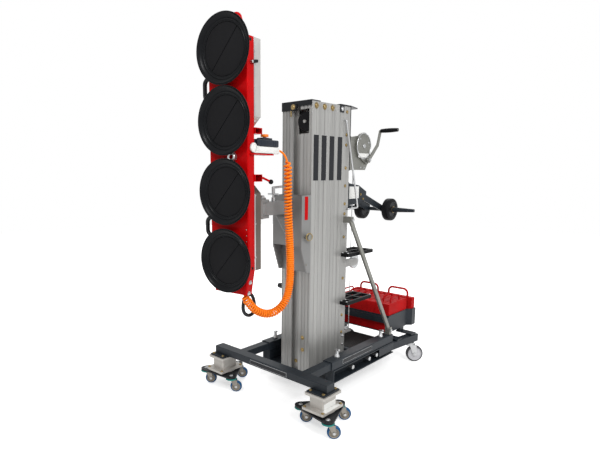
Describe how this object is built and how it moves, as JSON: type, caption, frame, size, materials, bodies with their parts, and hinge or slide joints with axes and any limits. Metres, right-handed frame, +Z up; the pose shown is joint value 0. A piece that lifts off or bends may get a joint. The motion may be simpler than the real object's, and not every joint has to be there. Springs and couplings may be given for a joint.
{
  "type": "glass hoist",
  "caption": "Mobile vacuum glass hoist: telescopic mast on a wheeled counterweighted base, winch, and a turning beam of suction pads on a swinging arm.",
  "frame": {"origin": "on the floor under the middle of the hoist's plan", "axes": "+Z up, -Y to the front where the suction pads face, +X to the hoist's left"},
  "size_m": [0.9665, 1.5407, 1.888],
  "materials": {
    "red_paint": "gloss red paint",
    "weight_red": "satin red painted slabs",
    "charcoal_paint": "satin charcoal paint",
    "silver_paint": "satin silver grey paint",
    "cast_grey": "pale cast blocks",
    "anodised": "plain anodised extrusion",
    "black_paint": "satin black paint",
    "bare_sheet": "bare folded sheet",
    "black_plastic": "matt moulded plastic",
    "orange_plastic": "matt moulded knob",
    "zinc": "bright zinc plate",
    "dull_zinc": "dull zinc plate",
    "gold_zinc": "yellow zinc plate",
    "pad_rubber": "matt black rubber",
    "white_plastic": "matt white housing",
    "orange_cord": "matt sheath",
    "grey_wheel": "grey tread on a pale core",
    "blue_wheel": "blue elastic tread"
  },
  "bodies": {
    "base": {"base_frame": "charcoal_paint", "mast_section_1": "anodised", "rear_rails": "anodised", "winch_bracket": "black_paint", "winch_frame": "zinc", "lift_cable": "zinc", "loading_bracket": "charcoal_paint", "steps": "black_plastic", "braces": "dull_zinc", "grab_rod": "zinc", "weight_tray": "charcoal_paint", "counterweights": "weight_red"},
    "front": {"front_frame": "charcoal_paint", "risers": "cast_grey"},
    "dolly_left": {"dolly_plate_left": "black_paint"},
    "dolly_fork_left_rear": {"dolly_fork_left_rear": "zinc"},
    "dolly_wheel_left_rear": {"dolly_wheel_left_rear": "blue_wheel"},
    "dolly_fork_left_outer": {"dolly_fork_left_outer": "zinc"},
    "dolly_wheel_left_outer": {"dolly_wheel_left_outer": "blue_wheel"},
    "dolly_fork_left_inner": {"dolly_fork_left_inner": "zinc"},
    "dolly_wheel_left_inner": {"dolly_wheel_left_inner": "blue_wheel"},
    "rear_fork_left": {"rear_fork_left": "zinc"},
    "rear_wheel_left": {"rear_wheel_left": "grey_wheel"},
    "clamp_handle_left_front": {"clamp_handle_left_front": "zinc"},
    "clamp_handle_left_rear": {"clamp_handle_left_rear": "zinc"},
    "dolly_right": {"dolly_plate_right": "black_paint"},
    "dolly_fork_right_rear": {"dolly_fork_right_rear": "zinc"},
    "dolly_wheel_right_rear": {"dolly_wheel_right_rear": "blue_wheel"},
    "dolly_fork_right_outer": {"dolly_fork_right_outer": "zinc"},
    "dolly_wheel_right_outer": {"dolly_wheel_right_outer": "blue_wheel"},
    "dolly_fork_right_inner": {"dolly_fork_right_inner": "zinc"},
    "dolly_wheel_right_inner": {"dolly_wheel_right_inner": "blue_wheel"},
    "rear_fork_right": {"rear_fork_right": "zinc"},
    "rear_wheel_right": {"rear_wheel_right": "grey_wheel"},
    "clamp_handle_right_front": {"clamp_handle_right_front": "zinc"},
    "clamp_handle_right_rear": {"clamp_handle_right_rear": "zinc"},
    "base_wheels": {"base_wheels": "grey_wheel"},
    "mast_2": {"mast_section_2": "anodised"},
    "mast_3": {"mast_section_3": "anodised"},
    "mast_4": {"mast_section_4": "anodised", "mast_cap": "black_paint"},
    "sheave": {"sheave": "black_plastic"},
    "winch_drum": {"winch_drum": "zinc"},
    "crank": {"crank": "zinc"},
    "crank_grip": {"crank_grip": "black_plastic"},
    "idler_pulley": {"idler_pulley": "zinc"},
    "loading_wheel_left": {"loading_wheel_left": "black_plastic"},
    "loading_wheel_right": {"loading_wheel_right": "black_plastic"},
    "carriage": {"carriage": "silver_paint"},
    "height_pin": {"height_pin": "gold_zinc"},
    "knuckle": {"knuckle": "silver_paint"},
    "knuckle_clamp": {"knuckle_clamp": "zinc"},
    "head": {"beam": "red_paint", "pads": "pad_rubber", "covers": "bare_sheet", "grab_handles": "black_paint", "control_box": "white_plastic", "curly_cord": "orange_cord"},
    "stop_button": {"stop_button": "orange_plastic"},
    "lock_lever": {"lock_lever": "red_paint"}
  },
  "joints": [
    {"name": "front_frame_slide", "type": "slide", "parent": "base", "child": "front", "axis": [0, -1, 0], "range_m": [-0.12, 0.3]},
    {"name": "dolly_left_turn", "type": "hinge", "parent": "front", "child": "dolly_left", "pos_m": [0.355, -0.413, 0.09], "axis": [0, 0, 1], "continuous": true},
    {"name": "dolly_fork_left_rear_swivel", "type": "hinge", "parent": "dolly_left", "child": "dolly_fork_left_rear", "pos_m": [0.37445, -0.3027, 0.088], "axis": [0, 0, 1], "continuous": true},
    {"name": "dolly_wheel_left_rear_roll", "type": "hinge", "parent": "dolly_fork_left_rear", "child": "dolly_wheel_left_rear", "pos_m": [0.39526, -0.28397, 0.033], "axis": [-0.6691, 0.7431, 0], "continuous": true},
    {"name": "dolly_fork_left_outer_swivel", "type": "hinge", "parent": "dolly_left", "child": "dolly_fork_left_outer", "pos_m": [0.4408, -0.48499, 0.088], "axis": [0, 0, 1], "continuous": true},
    {"name": "dolly_wheel_left_outer_roll", "type": "hinge", "parent": "dolly_fork_left_outer", "child": "dolly_wheel_left_outer", "pos_m": [0.46161, -0.46626, 0.033], "axis": [-0.6691, 0.7431, 0], "continuous": true},
    {"name": "dolly_fork_left_inner_swivel", "type": "hinge", "parent": "dolly_left", "child": "dolly_fork_left_inner", "pos_m": [0.24975, -0.45131, 0.088], "axis": [0, 0, 1], "continuous": true},
    {"name": "dolly_wheel_left_inner_roll", "type": "hinge", "parent": "dolly_fork_left_inner", "child": "dolly_wheel_left_inner", "pos_m": [0.27056, -0.43257, 0.033], "axis": [-0.6691, 0.7431, 0], "continuous": true},
    {"name": "rear_fork_left_swivel", "type": "hinge", "parent": "base", "child": "rear_fork_left", "pos_m": [0.26016, 0.65, 0.131], "axis": [0, 0, 1], "continuous": true},
    {"name": "rear_wheel_left_roll", "type": "hinge", "parent": "rear_fork_left", "child": "rear_wheel_left", "pos_m": [0.28543, 0.67275, 0.054], "axis": [-0.6691, 0.7431, 0], "continuous": true},
    {"name": "clamp_handle_left_front_turn", "type": "hinge", "parent": "base", "child": "clamp_handle_left_front", "pos_m": [0.226, -0.119, 0.25], "axis": [0, 0, 1], "continuous": true},
    {"name": "clamp_handle_left_rear_turn", "type": "hinge", "parent": "base", "child": "clamp_handle_left_rear", "pos_m": [0.226, 0.334, 0.25], "axis": [0, 0, 1], "continuous": true},
    {"name": "dolly_right_turn", "type": "hinge", "parent": "front", "child": "dolly_right", "pos_m": [-0.355, -0.413, 0.09], "axis": [0, 0, 1], "continuous": true},
    {"name": "dolly_fork_right_rear_swivel", "type": "hinge", "parent": "dolly_right", "child": "dolly_fork_right_rear", "pos_m": [-0.36671, -0.30161, 0.088], "axis": [0, 0, 1], "continuous": true},
    {"name": "dolly_wheel_right_rear_roll", "type": "hinge", "parent": "dolly_fork_right_rear", "child": "dolly_wheel_right_rear", "pos_m": [-0.3459, -0.28288, 0.033], "axis": [-0.6691, 0.7431, 0], "continuous": true},
    {"name": "dolly_fork_right_outer_swivel", "type": "hinge", "parent": "dolly_right", "child": "dolly_fork_right_outer", "pos_m": [-0.44561, -0.47883, 0.088], "axis": [0, 0, 1], "continuous": true},
    {"name": "dolly_wheel_right_outer_roll", "type": "hinge", "parent": "dolly_fork_right_outer", "child": "dolly_wheel_right_outer", "pos_m": [-0.4248, -0.4601, 0.033], "axis": [-0.6691, 0.7431, 0], "continuous": true},
    {"name": "dolly_fork_right_inner_swivel", "type": "hinge", "parent": "dolly_right", "child": "dolly_fork_right_inner", "pos_m": [-0.25268, -0.45855, 0.088], "axis": [0, 0, 1], "continuous": true},
    {"name": "dolly_wheel_right_inner_roll", "type": "hinge", "parent": "dolly_fork_right_inner", "child": "dolly_wheel_right_inner", "pos_m": [-0.23187, -0.43982, 0.033], "axis": [-0.6691, 0.7431, 0], "continuous": true},
    {"name": "rear_fork_right_swivel", "type": "hinge", "parent": "base", "child": "rear_fork_right", "pos_m": [-0.26016, 0.65, 0.131], "axis": [0, 0, 1], "continuous": true},
    {"name": "rear_wheel_right_roll", "type": "hinge", "parent": "rear_fork_right", "child": "rear_wheel_right", "pos_m": [-0.23489, 0.67275, 0.054], "axis": [-0.6691, 0.7431, 0], "continuous": true},
    {"name": "clamp_handle_right_front_turn", "type": "hinge", "parent": "base", "child": "clamp_handle_right_front", "pos_m": [-0.226, -0.119, 0.25], "axis": [0, 0, 1], "continuous": true},
    {"name": "clamp_handle_right_rear_turn", "type": "hinge", "parent": "base", "child": "clamp_handle_right_rear", "pos_m": [-0.226, 0.334, 0.25], "axis": [0, 0, 1], "continuous": true},
    {"name": "base_wheels_roll", "type": "hinge", "parent": "base", "child": "base_wheels", "pos_m": [0, 0.217, 0.137], "axis": [1, 0, 0], "continuous": true},
    {"name": "mast_2_lift", "type": "slide", "parent": "base", "child": "mast_2", "axis": [0, 0, 1], "range_m": [0, 1.15]},
    {"name": "mast_3_lift", "type": "slide", "parent": "mast_2", "child": "mast_3", "axis": [0, 0, 1], "range_m": [0, 1.15]},
    {"name": "mast_4_lift", "type": "slide", "parent": "mast_3", "child": "mast_4", "axis": [0, 0, 1], "range_m": [0, 1.15]},
    {"name": "sheave_spin", "type": "hinge", "parent": "mast_4", "child": "sheave", "pos_m": [0.046, -0.189, 1.479], "axis": [0, 1, 0], "continuous": true},
    {"name": "winch_drum_spin", "type": "hinge", "parent": "base", "child": "winch_drum", "pos_m": [0, 0.3488, 1.377], "axis": [1, 0, 0], "continuous": true},
    {"name": "crank_spin", "type": "hinge", "parent": "base", "child": "crank", "pos_m": [0, 0.38684, 1.29543], "axis": [1, 0, 0], "continuous": true},
    {"name": "crank_grip_spin", "type": "hinge", "parent": "crank", "child": "crank_grip", "pos_m": [0.072, 0.50884, 1.47343], "axis": [1, 0, 0], "continuous": true},
    {"name": "idler_spin", "type": "hinge", "parent": "base", "child": "idler_pulley", "pos_m": [0, 0.3665, 0.672], "axis": [1, 0, 0], "continuous": true},
    {"name": "loading_wheel_left_roll", "type": "hinge", "parent": "base", "child": "loading_wheel_left", "pos_m": [0.102, 0.6, 0.99], "axis": [1, 0, 0], "continuous": true},
    {"name": "loading_wheel_right_roll", "type": "hinge", "parent": "base", "child": "loading_wheel_right", "pos_m": [-0.102, 0.6, 0.99], "axis": [1, 0, 0], "continuous": true},
    {"name": "carriage_slide", "type": "slide", "parent": "mast_4", "child": "carriage", "axis": [0, 0, 1], "range_m": [0, 0.29]},
    {"name": "height_pin_pull", "type": "slide", "parent": "carriage", "child": "height_pin", "axis": [1, 0, 0], "range_m": [0, 0.012], "stiffness_N_per_m": 400},
    {"name": "knuckle_swing", "type": "hinge", "parent": "carriage", "child": "knuckle", "pos_m": [0, -0.473, 1.045], "axis": [0, 0, 1], "range_deg": [-30, 5]},
    {"name": "knuckle_clamp_turn", "type": "hinge", "parent": "carriage", "child": "knuckle_clamp", "pos_m": [0, -0.385, 1.045], "axis": [0, 0, 1], "continuous": true},
    {"name": "head_turn", "type": "hinge", "parent": "knuckle", "child": "head", "pos_m": [0.02004, -0.6156, 1.045], "axis": [-0.1392, 0.9903, 0], "range_deg": [-90, 90]},
    {"name": "stop_button_press", "type": "slide", "parent": "head", "child": "stop_button", "axis": [0, 0, -1], "range_m": [0, 0.004], "stiffness_N_per_m": 600},
    {"name": "lock_lever_turn", "type": "hinge", "parent": "head", "child": "lock_lever", "pos_m": [0.1158, -0.60719, 1.196], "axis": [-0.1392, 0.9903, 0], "range_deg": [-80, 80]}
  ],
  "couplings": [
    {"joint": "mast_3_lift", "follows": "mast_2_lift", "ratio": 1},
    {"joint": "mast_4_lift", "follows": "mast_2_lift", "ratio": 1},
    {"joint": "crank_spin", "follows": "winch_drum_spin", "ratio": -4.1143}
  ]
}
